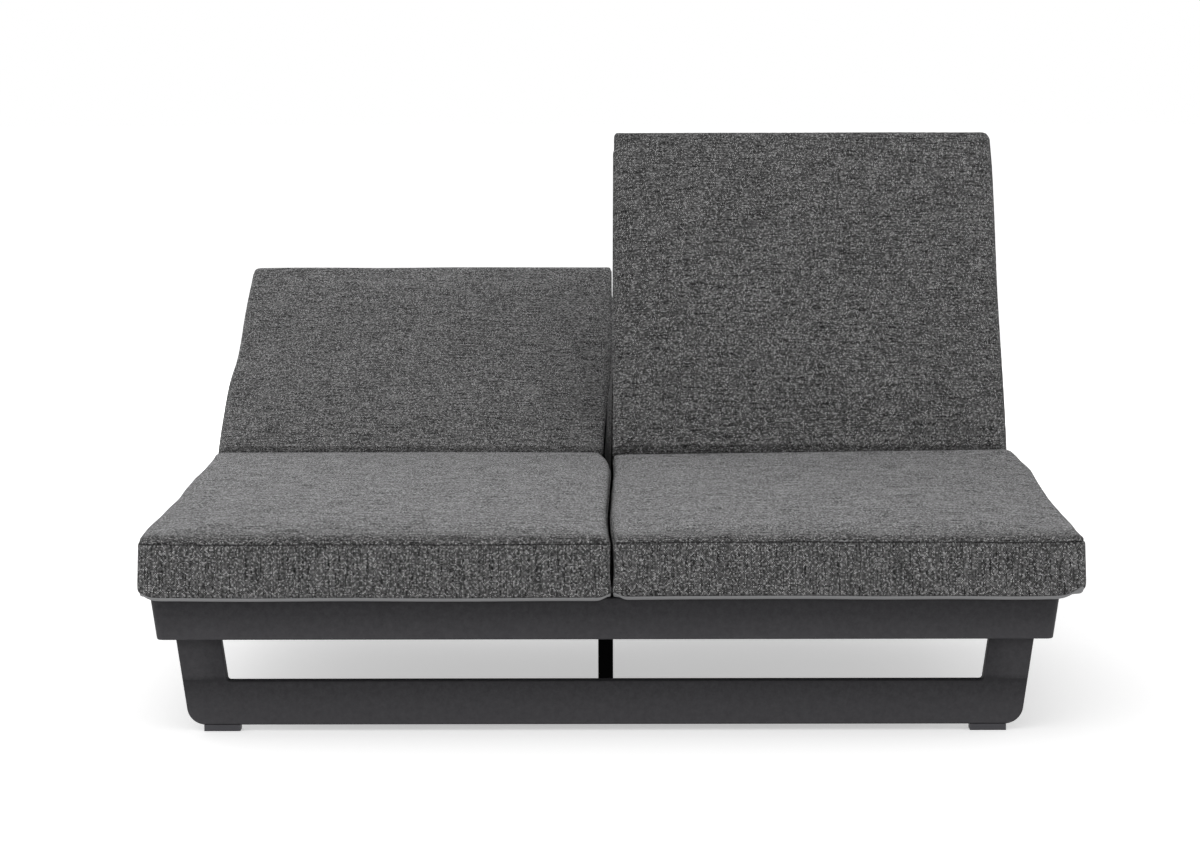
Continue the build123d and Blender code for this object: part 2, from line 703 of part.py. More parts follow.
for name, side, notch in (("left", -1, left_notch_count), ("right", 1, right_notch_count)):
    angle = rest_angle(notch)
    face = back_face(angle)
    stay = stay_face(angle)
    middle = side * bay_middle
    cushion_x = cushion_shift + side * (cushion_width + cushion_gap / 2) / 2

    seat_sections = [
        cushion_section(
            end_plane(level, cushion_x, along, hinge_drop), cushion_real - 2 * draw, cushion_side_height, crown
        )
        for along, draw, crown in (
            (-seat_length, 0, end_crown),
            (-seat_length / 2, side_draw, cushion_crown),
            (0, 0, cushion_crown),
        )
    ]
    with BuildPart() as seat_cushion:
        loft(seat_sections)
        split(
            bisect_by=Plane(
                origin=(0, hinge_y - fold_clearance, hinge_z),
                z_dir=(0, -cos(fold_angle / 2), -sin(fold_angle / 2)),
            ),
            keep=Keep.TOP,
        )
    save(seat_cushion, f"{name}_seat_cushion")

    back_sections = [
        cushion_section(
            end_plane(face, cushion_x, along, hinge_drop + soft_clearance),
            cushion_real - 2 * draw,
            cushion_side_height,
            crown,
        )
        for along, draw, crown in (
            (0, 0, cushion_crown),
            (back_length / 2, side_draw, cushion_crown),
            (back_length, 0, end_crown),
        )
    ]
    with BuildPart() as back_cushion:
        loft(back_sections)
        fold_normal = face.y_dir * cos(fold_angle / 2) - face.z_dir * sin(fold_angle / 2)
        split(
            bisect_by=Plane(
                origin=face.from_local_coords(Vector(0, fold_clearance, 0)), z_dir=fold_normal
            ),
            keep=Keep.TOP,
        )
    save(back_cushion, f"{name}_back_cushion")

    # Side tubes and the top tube are one mitred frame of the same hollow profile
    corners = [
        (side * back_inner_x, back_frame_length),
        (side * back_outer_x, back_frame_length),
        (side * tube_faces[1], back_frame_length - back_tube_width),
        (side * tube_faces[0], back_frame_length - back_tube_width),
    ]
    for place, x in (
        ("inner", back_inner_x + back_tube_width / 2),
        ("outer", back_outer_x - back_tube_width / 2),
    ):
        with BuildPart() as side_tube:
            with BuildSketch(slice_plane(face, side * x)):
                with Locations(((back_frame_length - back_tube_end) / 2, hinge_drop - back_frame_depth / 2)):
                    Rectangle(back_frame_length + back_tube_end, back_frame_depth)
                fillet(vertices().group_by(Axis.X)[0], radius=back_tube_round)
            extrude(amount=back_tube_width / 2, both=True)
            with BuildSketch(slice_plane(face, side * x)):
                with Locations(
                    ((back_frame_length - back_tube_end) / 2 + 2 * back_tube_wall, hinge_drop - back_frame_depth / 2)
                ):
                    Rectangle(back_frame_length + back_tube_end, back_frame_depth - 2 * back_tube_wall)
            extrude(amount=back_tube_width / 2 - back_tube_wall, both=True, mode=Mode.SUBTRACT)
            with BuildSketch(face):
                Polygon(*corners, align=None)
            extrude(amount=overrun, both=True, mode=Mode.SUBTRACT)
            for along, bolt in ((0, hinge_bolt), (stay_reach, stay_bolt)):
                with BuildSketch(*seats(face, along, side)):
                    Circle(bolt / 2 + hole_clearance)
                extrude(amount=-back_tube_wall, mode=Mode.SUBTRACT)
        save(side_tube, f"{name}_back_{place}_tube")

    with BuildPart() as top_tube:
        with BuildSketch(slice_plane(face, middle)):
            with Locations((back_frame_length - back_tube_width / 2, hinge_drop - back_frame_depth / 2)):
                Rectangle(back_tube_width, back_frame_depth)
                Rectangle(
                    back_tube_width - 2 * back_tube_wall,
                    back_frame_depth - 2 * back_tube_wall,
                    mode=Mode.SUBTRACT,
                )
        extrude(amount=bay_width, both=True)
        with BuildSketch(face):
            Polygon(*corners, align=None)
        extrude(amount=overrun, both=True, mode=Mode.INTERSECT)
    save(top_tube, f"{name}_back_top_tube")

    cross_depth = back_frame_depth - back_slat_thick
    with BuildPart() as cross_tubes:
        with BuildSketch(slice_plane(face, middle)):
            with Locations(
                [
                    (place + cross_tube_width / 2, frame_bottom + cross_depth / 2)
                    for place in (bottom_tube_place, middle_tube_place, upper_tube_place)
                ]
            ):
                Rectangle(cross_tube_width, cross_depth)
                Rectangle(
                    cross_tube_width - 2 * back_slat_wall, cross_depth - 2 * back_slat_wall, mode=Mode.SUBTRACT
                )
        extrude(amount=bay_width / 2, both=True)
    save(cross_tubes, f"{name}_back_cross_tubes")

    slat_end = back_frame_length - back_tube_width - back_slat_gap - back_slat_width / 2
    slat_begin = back_slat_start + back_slat_width / 2
    with BuildPart() as back_slats:
        with BuildSketch(slice_plane(face, middle)):
            with Locations(
                [
                    (
                        slat_begin + (slat_end - slat_begin) * number / (back_slat_count - 1),
                        hinge_drop - back_slat_thick / 2,
                    )
                    for number in range(back_slat_count)
                ]
            ):
                RectangleRounded(back_slat_width, back_slat_thick, slat_round)
                Rectangle(
                    back_slat_width - 2 * back_slat_wall,
                    back_slat_thick - 2 * back_slat_wall,
                    mode=Mode.SUBTRACT,
                )
        extrude(amount=bay_width / 2, both=True)
    save(back_slats, f"{name}_back_slats")

    hinge_seats = seats(face, 0, side)
    stay_seats = seats(face, stay_reach, side)
    save(pivot_bushes(hinge_seats, hinge_bolt, hinge_bush_wall, bracket_thick), f"{name}_hinge_bushes")
    save(
        pivot_bolts(hinge_seats, hinge_bolt, hinge_head_width, head_height, bracket_thick), f"{name}_hinge_bolts"
    )
    save(pivot_bushes(stay_seats, stay_bolt, stay_bush_wall, arm_thick), f"{name}_stay_bushes")
    save(pivot_bolts(stay_seats, stay_bolt, stay_head_width, stay_head_height, arm_thick), f"{name}_stay_bolts")

    # The stay is two flat arms with a foot bar, whose sleeves sit over the racks
    with BuildPart() as stay_arms:
        arm_places = (tube_faces[0] + pivot_gap + arm_thick / 2, tube_faces[1] - pivot_gap - arm_thick / 2)
        with BuildSketch(*[slice_plane(stay, side * x) for x in arm_places]):
            with Locations((stay_reach / 2, 0)):
                SlotCenterToCenter(stay_reach, arm_width)
            Circle(stay_bolt / 2 + running_clearance + stay_bush_wall, mode=Mode.SUBTRACT)
        extrude(amount=arm_thick / 2, both=True)
    save(stay_arms, f"{name}_stay_arms")

    with BuildPart() as stay_foot_bar:
        with BuildSketch(slice_plane(stay, middle)):
            with Locations((stay_reach, 0)):
                Circle(foot_bar / 2)
                Circle(foot_bar / 2 - foot_bar_wall, mode=Mode.SUBTRACT)
        extrude(amount=bay_width / 2 - pivot_gap - arm_thick, both=True)
    save(stay_foot_bar, f"{name}_stay_foot_bar")

    with BuildPart() as stay_sleeves:
        with BuildSketch(*[slice_plane(stay, side * x) for x in rack_places]):
            with Locations((stay_reach, 0)):
                Circle(sleeve_diameter / 2)
                Circle(foot_bar / 2, mode=Mode.SUBTRACT)
        extrude(amount=sleeve_length / 2, both=True)
    save(stay_sleeves, f"{name}_stay_sleeves")
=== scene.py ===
import json
import math
import bpy
import numpy as np
from mathutils import Matrix, Vector


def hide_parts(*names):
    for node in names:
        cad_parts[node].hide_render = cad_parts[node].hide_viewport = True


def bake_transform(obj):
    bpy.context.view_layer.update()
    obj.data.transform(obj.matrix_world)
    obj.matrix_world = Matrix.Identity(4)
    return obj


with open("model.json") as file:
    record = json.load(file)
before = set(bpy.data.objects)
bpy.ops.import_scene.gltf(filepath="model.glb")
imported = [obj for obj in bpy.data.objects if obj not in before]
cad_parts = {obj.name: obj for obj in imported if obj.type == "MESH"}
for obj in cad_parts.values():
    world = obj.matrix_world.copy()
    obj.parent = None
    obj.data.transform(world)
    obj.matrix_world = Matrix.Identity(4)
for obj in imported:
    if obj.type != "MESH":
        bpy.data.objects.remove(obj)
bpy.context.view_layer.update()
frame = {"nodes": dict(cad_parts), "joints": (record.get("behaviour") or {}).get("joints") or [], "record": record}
print("frame loaded:", len(frame["nodes"]), "nodes")

scene = bpy.context.scene
scene.view_settings.view_transform = "Standard"


# the camera is fitted to the photograph's edges; angles in radians, pitch is downwards
camera = dict(lens=113.739, place=(0.02133, -6.86021, 1.09351), yaw=-0.0047495, pitch=0.1043297, roll=0.0023859)


def placeCamera(c):
    # ahead from yaw and pitch, then right and down turned by the roll
    ahead = Vector((
        math.sin(c["yaw"]) * math.cos(c["pitch"]), math.cos(c["yaw"]) * math.cos(c["pitch"]), -math.sin(c["pitch"]),
    ))
    right = Vector((math.cos(c["yaw"]), -math.sin(c["yaw"]), 0))
    down = ahead.cross(right)
    across = math.cos(c["roll"]) * right + math.sin(c["roll"]) * down
    below = math.cos(c["roll"]) * down - math.sin(c["roll"]) * right
    turn = Matrix((across, -below, -ahead)).transposed().to_4x4()
    data = bpy.data.cameras.new("camera")
    data.lens, data.sensor_width = c["lens"], 36
    data.clip_end = 200
    made = bpy.data.objects.new("camera", data)
    scene.collection.objects.link(made)
    made.matrix_world = Matrix.Translation(c["place"]) @ turn
    scene.camera = made


placeCamera(camera)


# a socket in an expression: its operators add Math nodes

class Value:
    def __init__(self, finish, socket):
        self.finish, self.socket = finish, socket

    def maths(self, operation, *terms):
        return self.finish.node("ShaderNodeMath", dict(enumerate(terms)), operation=operation)

    def __add__(self, other): return self.maths("ADD", self, other)
    def __radd__(self, other): return self.maths("ADD", other, self)
    def __sub__(self, other): return self.maths("SUBTRACT", self, other)
    def __rsub__(self, other): return self.maths("SUBTRACT", other, self)
    def __mul__(self, other): return self.maths("MULTIPLY", self, other)
    def __truediv__(self, other): return self.maths("DIVIDE", self, other)
    def __pow__(self, other): return self.maths("POWER", self, other)
    def __mod__(self, other): return self.maths("FLOORED_MODULO", self, other)
    def __lt__(self, other): return self.maths("LESS_THAN", self, other)
    def __gt__(self, other): return self.maths("GREATER_THAN", self, other)
    def floor(self): return self.maths("FLOOR", self)
    def fraction(self): return self.maths("FRACT", self)
    def size(self): return self.maths("ABSOLUTE", self)
    def wave(self): return self.maths("SINE", self)
    def atMost(self, other): return self.maths("MINIMUM", self, other)
    def atLeast(self, other): return self.maths("MAXIMUM", self, other)


class Finish:
    def __init__(self, name, owner=None):
        self.owner = owner or bpy.data.materials.new(name)
        self.owner.use_nodes = True
        self.tree = self.owner.node_tree
        self.tree.nodes.clear()

    def node(self, kind, given=None, out=0, stops=None, **settings):
        made = self.tree.nodes.new(kind)
        for key, value in settings.items():
            setattr(made, key, value)
        if stops:
            ramp = made.color_ramp
            while len(ramp.elements) < len(stops):
                ramp.elements.new(1.0)
            for element, (place, shade) in zip(ramp.elements, stops):
                element.position = place
                element.color = (shade, shade, shade, 1) if isinstance(shade, float) else (*shade, 1)
        for key, value in (given or {}).items():
            self.feed(made.inputs[key], value)
        return Value(self, made.outputs[out])

    def feed(self, socket, value):
        if isinstance(value, Value):
            self.tree.links.new(value.socket, socket)
        elif hasattr(value, "__len__") and len(value) == 3 and socket.type == "RGBA":
            socket.default_value = (*value, 1)
        else:
            socket.default_value = value

    def split(self, vector):
        return [self.node("ShaderNodeSeparateXYZ", {0: vector}, out=axis) for axis in range(3)]

    def join(self, x, y, z=0.0):
        return self.node("ShaderNodeCombineXYZ", {0: x, 1: y, 2: z})

    def place(self):
        return self.node("ShaderNodeTexCoord", out="Object")

    def mixColour(self, share, first, second):
        return self.node("ShaderNodeMix", {0: share, 6: first, 7: second}, out=2, data_type="RGBA")

    def noise(self, where, scale, detail, rough, **settings):
        given = {"Vector": where, "Scale": scale, "Detail": detail, "Roughness": rough}
        return self.node("ShaderNodeTexNoise", given, **settings)

    def chance(self, where):
        return self.node("ShaderNodeTexWhiteNoise", {"Vector": where}, noise_dimensions="3D")

    def bump(self, height, distance, strength):
        return self.node("ShaderNodeBump", {"Height": height, "Distance": distance, "Strength": strength})

    def shader(self, kind, **sockets):
        given = {key.replace("_", " "): value for key, value in sockets.items()}
        return self.node(kind, given)

    def seen(self):
        # 1 for what the camera sees, also in reflections and through glass, and 0 for light on its way
        camera, glossy, through = (
            self.node("ShaderNodeLightPath", out=f"Is {kind} Ray") for kind in ("Camera", "Glossy", "Transmission")
        )
        return (camera + glossy + through).atMost(1.0)

    def done(self, shader, kind="ShaderNodeOutputMaterial"):
        last = self.tree.nodes.new(kind)
        self.tree.links.new(shader.socket, last.inputs["Surface"])
        return self.owner


# the cushions' map "weave" is in metres: u runs along the slubbed yarns, v across them
weave = dict(
    warpPitch=0.0020, slubPitch=0.0019, boxingScale=(1.05, 1.05), faceStep=0.37,
    dark=(0.012, 0.0118, 0.012), light=(0.60, 0.596, 0.596), deep=(0.004, 0.004, 0.004),
    rough=0.95, gloss=0.1, bumpHeight=0.0005, bumpStrength=0.7,
)
# each kind of yarn lies between dark and light by its tone, long streaks, slubs and each cell's own chance
yarns = dict(
    streakSize=(0.060, 0.0029), slubLength=0.014, slubStep=5.77,
    slubStops=[(0.38, 0.0), (0.56, 0.16), (0.66, 0.55), (0.76, 1.0)],
    cellStops=[(0.0, 0.0), (0.50, 0.10), (0.80, 0.38), (1.0, 1.0)],
    slubbed=dict(tone=0.068, streak=0.46, slub=0.25, cell=0.85), darker=dict(tone=0.02, streak=0.15, cell=0.50),
    edgeShare=0.65, humpShare=0.42, patch=(7.0, 3.0, 0.55), patchLow=0.89, patchShare=0.22,
    reliefLow=0.55, reliefSlubbed=0.45, reliefSlub=0.3,
)
# darker stitches, painted shade at a seat's free end and in a back's fold with its lighter welt; all lengths in metres
stitches = dict(
    seamWidth=0.0016, seamDark=0.92, bandWidth=0.010, bandDark=0.06, foldBand=0.022, foldSteep=4, foldDark=0.40,
    pipe=0.0025, pipeLight=0.30,
)
# loose fibres on the top: low is the share all yarns have, edge how far from the seam they are full; kept off the
# boxing and faded near a seat's free end, which is painted shade on the rims and where the top falls forward
fibres = dict(
    sheen=0.75, rough=0.33, tint=(0.9, 0.9, 0.92), low=0.05, cell=3.0, streak=2.2, edge=0.012,
    endFade=0.10, endDark=0.65,
)


def yarnShade(f, w, y, u, v):
    # plain weave: a cell shows the slubbed yarn where column + row is even, and the darker yarn elsewhere.
    # Returns the shade, each cell's chance, the streaks about zero and the yarns' height
    column, row = (u / w["warpPitch"]).floor(), (v / w["slubPitch"]).floor()
    inU, inV = (u / w["warpPitch"]).fraction() * 2 - 1, (v / w["slubPitch"]).fraction() * 2 - 1
    isSlubbed = ((column + row) % 2.0) < 0.5
    alongStreak, acrossStreak = y["streakSize"]
    streak = f.noise(f.join(u / alongStreak, v / acrossStreak), 1.0, 1.0, 0.5, noise_dimensions="2D") - 0.5
    slub = f.noise(f.join(u / y["slubLength"], row * y["slubStep"]), 1.0, 2.0, 0.6, noise_dimensions="2D")
    slub = f.node("ShaderNodeValToRGB", {0: slub}, stops=y["slubStops"])
    cell = f.node("ShaderNodeValToRGB", {0: f.chance(f.join(column, row, 0.5))}, stops=y["cellStops"])
    light, dark = y["slubbed"], y["darker"]
    lightShade = streak * light["streak"] + slub * light["slub"] + cell * light["cell"] + light["tone"]
    darkShade = cell * dark["cell"] + dark["tone"] + streak * dark["streak"]
    shade = f.node("ShaderNodeMix", {0: isSlubbed, 2: darkShade, 3: lightShade}, data_type="FLOAT")
    # each yarn is round and dips at the cell's ends, so its edges lie in the next yarn's shade
    hump = ((1 - inU ** 2) * (1 - inV ** 2)) ** 0.5
    patch = f.noise(f.place(), *y["patch"])
    shade = shade * (y["edgeShare"] + hump * y["humpShare"]) * (y["patchLow"] + patch * y["patchShare"])
    return shade, cell, streak, hump * (y["reliefLow"] + isSlubbed * y["reliefSlubbed"]) + slub * y["reliefSlub"]


def seamShade(s, above, aboveLow, fromEnd):
    # the share of the shade that is left beside the seams, and under the painted shade at a seat's free end and at a
    # back's fold
    width = s["seamWidth"]
    stitch = (1 - (above / width).size()).atLeast(1 - (aboveLow / width).size()).atLeast(0.0)
    # painted shade over the roll just behind a seat's free end
    band = (1 - (fromEnd / s["bandWidth"] + 1).size()).atLeast(0.0)
    # painted shade in the crease along a back's fold
    fold = (1 - fromEnd / s["foldBand"]).atLeast(0.0) * (fromEnd > 0.0)
    pipe = (1 - ((fromEnd - s["foldBand"]) / s["pipe"]).size()).atLeast(0.0)
    kept = (1 - stitch * s["seamDark"]) * (1 - band * s["bandDark"])
    return kept * (1 - (fold * s["foldSteep"]).atMost(1.0) * s["foldDark"] + pipe * s["pipeLight"])


def fabricFinish(w, y, s, fuzz):
    # the weave, darker at its seams, with painted shade at a seat's free end and in a back's fold, deep in shade where
    # "shaded" says so, and with a sheen on the top
    f = Finish("greyMelangeWeave")
    u, v, _ = f.split(f.node("ShaderNodeUVMap", uv_map="weave"))
    above, aboveLow, fromEnd = f.split(f.node("ShaderNodeAttribute", out="Vector", attribute_name="sewn"))
    shade, cell, streak, height = yarnShade(f, w, y, u, v)
    tone = (shade * seamShade(s, above, aboveLow, fromEnd)).atMost(1.0).atLeast(0.0)
    shaded = f.node("ShaderNodeAttribute", out="Fac", attribute_name="shaded")
    body = dict(
        Base_Color=f.mixColour(shaded, f.mixColour(tone, w["dark"], w["light"]), w["deep"]),
        Roughness=w["rough"], Specular_IOR_Level=w["gloss"], Normal=f.bump(height, w["bumpHeight"], w["bumpStrength"]),
    )
    # loose fibres catch flat light, some yarns more than others; the sheen fades near a seat's free end and is kept
    # off the boxing as painted shade
    plain = f.shader("ShaderNodeBsdfPrincipled", **body)
    fuzzy = f.shader(
        "ShaderNodeBsdfPrincipled", Sheen_Weight=fuzz["sheen"], Sheen_Roughness=fuzz["rough"],
        Sheen_Tint=fuzz["tint"], **body,
    )
    nearEnd = (1 + fromEnd / fuzz["endFade"]).atLeast(0.0) * (fromEnd < 0.0)
    share = (fuzz["low"] + cell * fuzz["cell"] + streak * fuzz["streak"]).atMost(1.0).atLeast(0.0)
    share = share * (above / fuzz["edge"]).atLeast(0.0).atMost(1.0) * (1 - nearEnd * fuzz["endDark"])
    return f.done(f.node("ShaderNodeMixShader", {0: share, 1: plain, 2: fuzzy}))


lining = dict(
    thread=0.0009, colour=(0.25, 0.25, 0.255), other=(0.31, 0.31, 0.315), rib=0.25, patch=(14.0, 3.0, 0.5),
    patchShare=0.9, rough=0.8, gloss=0.2, sheen=0.15, bumpHeight=0.0001, bumpStrength=0.6,
)


def liningFinish(w):
    # a fine plain weave: yarns over and under in turn
    f = Finish("smoothLining")
    u, v, _ = f.split(f.node("ShaderNodeUVMap", uv_map="weave"))
    turn = math.pi / w["thread"]
    ribs = (u * turn).wave() * (v * turn).wave()
    patch = f.noise(f.place(), *w["patch"])
    share = (ribs * w["rib"] + patch * w["patchShare"]).atMost(1.0).atLeast(0.0)
    return f.done(f.shader(
        "ShaderNodeBsdfPrincipled", Base_Color=f.mixColour(share, w["colour"], w["other"]), Roughness=w["rough"],
        Specular_IOR_Level=w["gloss"], Sheen_Weight=w["sheen"],
        Normal=f.bump(ribs, w["bumpHeight"], w["bumpStrength"]),
    ))


fabric = fabricFinish(weave, yarns, stitches, fibres)
underside = liningFinish(lining)


# the last value of each coat says how much of the rails' painted light and shade it takes
coats = {
    "anthracite_coat": dict(
        colour=(0.0265, 0.0258, 0.0282), lighter=(0.074, 0.072, 0.077), rough=0.60, gloss=0.15, mottle=0.45, paintedShading=1.0,
    ),
    "deck_coat": dict(
        colour=(0.0265, 0.0258, 0.0282), lighter=(0.074, 0.072, 0.077), rough=0.60, gloss=0.15, mottle=0.45, paintedShading=0.0,
    ),
    # black paint made near-black, darker than any paint: partly painted shade for parts that stand in deep shadow
    # under the deck
    "black_coat": dict(
        colour=(0.0012, 0.0012, 0.0012), lighter=(0.003, 0.003, 0.003), rough=0.6, gloss=0.04, mottle=0.2, paintedShading=0.0,
    ),
    "coated_steel": dict(
        colour=(0.022, 0.022, 0.024), lighter=(0.045, 0.045, 0.048), rough=0.5, gloss=0.3, mottle=0.3, paintedShading=0.0,
    ),
}
# painted light and shade on the rails and the apron at each height, as the photograph shows: darker under the
# cushions and lighter towards the floor, as (height in metres, share); and painted light that makes the legs lighter
# outwards between the shares legFrom and legTo of the top
paintedRailShade = dict(
    top=0.22, level=0.42, legInner=0.602, legWidth=0.045, legFrom=0.375, legTo=0.675, legRise=0.42, legLow=0.16,
    legMost=0.24,
    stops=[
        (0.0, 1.0), (0.045, 0.62), (0.074, 0.22), (0.0815, 0.0), (0.090, 0.42), (0.148, 0.45), (0.152, 0.85),
        (0.178, 0.50), (0.192, 0.28), (0.218, 0.18),
    ],
)
# noise fields are (scale, detail, roughness)
powder = dict(
    peel=(1700.0, 2.0, 0.6), patch=(6.0, 4.0, 0.6), mottle=(90.0, 3.0, 0.8), level=0.32, peelShare=0.25,
    patchShare=0.10, mottleShare=1.8, roughLess=0.06, roughPatch=0.12, bumpHeight=0.00012, bumpStrength=0.5,
)


def coatFinish(name, c, w, r):
    # powder coat: fine orange peel, a mottle of about a centimetre and a little change over larger patches, and on the
    # anthracite frame painted light and shade by height and across the legs
    f = Finish(name)
    where = f.place()
    peel, patch, mottle = (f.noise(where, *w[key]) for key in ("peel", "patch", "mottle"))
    across, _, up = f.split(where)
    height = up / r["top"]
    stops = [(z / r["top"], float(share)) for z, share in r["stops"]]
    # painted light and shade: by height, darker under the cushions and lighter towards the floor, and the legs lighter
    # outwards
    lift = f.node("ShaderNodeValToRGB", {0: height}, stops=stops) - r["level"]
    away = (across.size() - r["legInner"]) / r["legWidth"]
    onLeg = (away > 0.0) * (height > r["legFrom"]) * (height < r["legTo"])
    lift = lift + (away * r["legRise"] - r["legLow"]).atMost(r["legMost"]) * onLeg
    share = w["level"] + lift * c["paintedShading"] + patch * w["patchShare"]
    share = share + (mottle - 0.5) * c["mottle"] * w["mottleShare"] + (peel - 0.5) * w["peelShare"]
    return f.done(f.shader(
        "ShaderNodeBsdfPrincipled",
        Base_Color=f.mixColour(share.atMost(1.0).atLeast(0.0), c["colour"], c["lighter"]),
        Roughness=c["rough"] - w["roughLess"] + patch * w["roughPatch"], Specular_IOR_Level=c["gloss"],
        Normal=f.bump(peel, w["bumpHeight"], w["bumpStrength"]),
    ))


plastics = {
    "foot_plastic": dict(colour=(0.055, 0.054, 0.060), rough=0.5),
    "bearing_plastic": dict(colour=(0.012, 0.012, 0.013), rough=0.35),
    "rubber": dict(colour=(0.010, 0.010, 0.010), rough=0.8),
}
moulding = dict(
    grain=(1400.0, 2.0, 0.7), patch=(30.0, 3.0, 0.5), lighter=1.5, lift=0.002, patchShare=0.8, roughPatch=0.1,
    gloss=0.35, bumpHeight=0.0001, bumpStrength=0.5,
)


def plasticFinish(name, c, w):
    # moulded surface with a fine spark texture
    f = Finish(name)
    grain, patch = (f.noise(f.place(), *w[key]) for key in ("grain", "patch"))
    lighter = tuple(x * w["lighter"] + w["lift"] for x in c["colour"])
    return f.done(f.shader(
        "ShaderNodeBsdfPrincipled", Base_Color=f.mixColour(patch * w["patchShare"], c["colour"], lighter),
        Roughness=c["rough"] + patch * w["roughPatch"], Specular_IOR_Level=w["gloss"],
        Normal=f.bump(grain, w["bumpHeight"], w["bumpStrength"]),
    ))


steel = dict(
    colour=(0.42, 0.42, 0.43), lighter=(0.56, 0.56, 0.57), brushFine=2600.0, brushLong=120.0,
    tarnish=(60.0, 3.0, 0.5), rough=0.24, roughBrush=0.18, bumpHeight=0.00004, bumpStrength=0.4,
)


def steelFinish(name, w):
    # turned stainless steel: fine rings of brushing along X and a soft tarnish
    f = Finish(name)
    x, y, z = f.split(f.place())
    brush = f.noise(f.join(x * w["brushFine"], y * w["brushLong"], z * w["brushLong"]), 1.0, 2.0, 0.6)
    tarnish = f.noise(f.place(), *w["tarnish"])
    return f.done(f.shader(
        "ShaderNodeBsdfPrincipled", Base_Color=f.mixColour(tarnish, w["colour"], w["lighter"]), Metallic=1.0,
        Roughness=w["rough"] + brush * w["roughBrush"], Normal=f.bump(brush, w["bumpHeight"], w["bumpStrength"]),
    ))


finishes = {name: coatFinish(name, c, powder, paintedRailShade) for name, c in coats.items()}
finishes.update({name: plasticFinish(name, c, moulding) for name, c in plastics.items()})
finishes["stainless"] = steelFinish("stainless", steel)
for row in frame["record"]["subparts"]:
    node, slotName = frame["nodes"][row["node"]], row["material_slot"]
    if slotName in finishes:
        node.data.materials.clear()
        node.data.materials.append(finishes[slotName])
print("finishes ready:", len(finishes))


# every length in metres; "outer" is the long edge away from the other side, "inner" the one that meets it
cushion = dict(
    width=0.737, height=0.0885, lining=0.0055, spacing=0.013,
    layers=(0.0085, 0.013, 0.022, 0.034, 0.045, 0.056, 0.066, 0.074, 0.080, 0.0845, 0.0872),
    outerRound=0.016, innerRound=0.006, reach=0.060, outerBulge=0.0035, bulgePower=0.6,
    roll=0.0088, rollWidth=0.021, rollPower=2.4, fall=0.0020, fallWidth=0.030, crown=0.0035,
    sway=0.0016, swayLength=0.33, swayReach=0.05, edgeWave=0.0010, edgeWaveLength=0.36, endWave=0.4,
    rimWave=0.0012, rimWaveLength=0.30, rimWaveReach=0.03,
    lift=0.0203, shift=0.0100, apart=0.0020, gap=0.0012, foldSoft=0.05, foldRise=0.090, foldReach=0.080,
    meetGap=0.0003, meetFrom=0.08, meetFade=0.25, freeFrom=0.9, freeFade=0.1,
    sagReach=0.022, innerLift=0.0075, innerLiftReach=0.024, cornerHeight=0.045, cornerPower=1.5,
    shade=0.24, shadeFade=0.13,
)
# where the two sides touch below their rolled edges: (distance from the fold, x)
touching = dict(
    seat=[(0, .0045), (.088, .0084), (.252, .0112), (.483, .0090), (.700, .0076), (.903, .0056), (1.1, .0080),
          (1.246, .0120)],
    back=[(0, .0045), (.09, .0080), (.20, .0100), (.40, .0108), (.78, .0122)],
)
# outer and inner: (distance from the fold, how far the top edge stands out from the plain width)
# rise: (distance from the cushion's middle outwards, how much the top rises towards the fold)
# sag: how far the free end hangs at its top seam and at its lower edge; corner: lift and reach of its outer end
pieces = [
    dict(
        name="leftSeatCushion", side=-1, part="seat", length=1.246, seed=11,
        sag=(0.0030, 0.0047), corner=(0.0070, 0.030),
        outer=[(0, .008), (.076, .0052), (.159, .0042), (.24, .003), (.319, .0036), (.396, .0062), (.546, .0048),
               (.689, -.0002), (.826, .0023), (.957, .0015), (1.083, .0045), (1.145, .0035), (1.246, .0005)],
        inner=[(0, -.018), (.088, -.0074), (.17, -.002), (.252, .0014), (.483, -.0008), (.700, -.0022),
               (.903, -.0042), (1.1, -.002), (1.246, .0022)],
        rise=[(-.36, 0), (-.1, .001), (.15, .001), (.36, .001)],
    ),
    dict(
        name="leftBackCushion", side=-1, part="back", length=0.7725, seed=16,
        sag=(0, 0), corner=(0.004, 0.030),
        outer=[(0, .0028), (.049, .0034), (.086, .0048), (.161, .0058), (.237, .0066), (.315, .0054),
               (.354, .0008), (.394, -.0026), (.475, -.0032), (.557, -.0016), (.641, -.0024), (.726, -.0042),
               (.775, -.0042)],
        inner=[(0, -.0115), (.046, -.0108), (.121, -.0082), (.215, -.0055), (.254, -.004), (.312, -.0004),
               (.363, .0012), (.472, .0024), (.671, .0019), (.775, .0016)],
        rise=[(-.36, 0), (.36, 0)],
    ),
    dict(
        name="rightSeatCushion", side=1, part="seat", length=1.246, seed=29,
        sag=(0, 0.0024), corner=(0.0150, 0.044),
        outer=[(0, .007), (.04, .012), (.076, .0155), (.159, .0200), (.24, .0215), (.319, .0188), (.396, .0150),
               (.546, .0090), (.689, .0051), (.826, .0040), (.957, .0028), (1.083, .0030), (1.145, .0010),
               (1.246, .0028)],
        inner=[(0, .0007), (.088, 0), (.17, -.0008), (.252, -.001), (.483, .0012), (.700, .0026), (.903, .0046),
               (1.1, .0024), (1.246, -.0018)],
        rise=[(-.36, 0), (0, .004), (.36, .0095)],
    ),
    dict(
        name="rightBackCushion", side=1, part="back", length=0.7675, seed=34,
        sag=(0, 0), corner=(0.004, 0.030),
        outer=[(0, .0005), (.14, .0004), (.4, -.0010), (.6, .0002), (.70, .0004), (.75, -.0012), (.77, -.0015)],
        inner=[(0, .0030), (.09, .0030), (.2, .0016), (.4, .0009), (.55, -.0006), (.775, -.0027)],
        rise=[(-.36, 0), (.36, 0)],
    ),
]
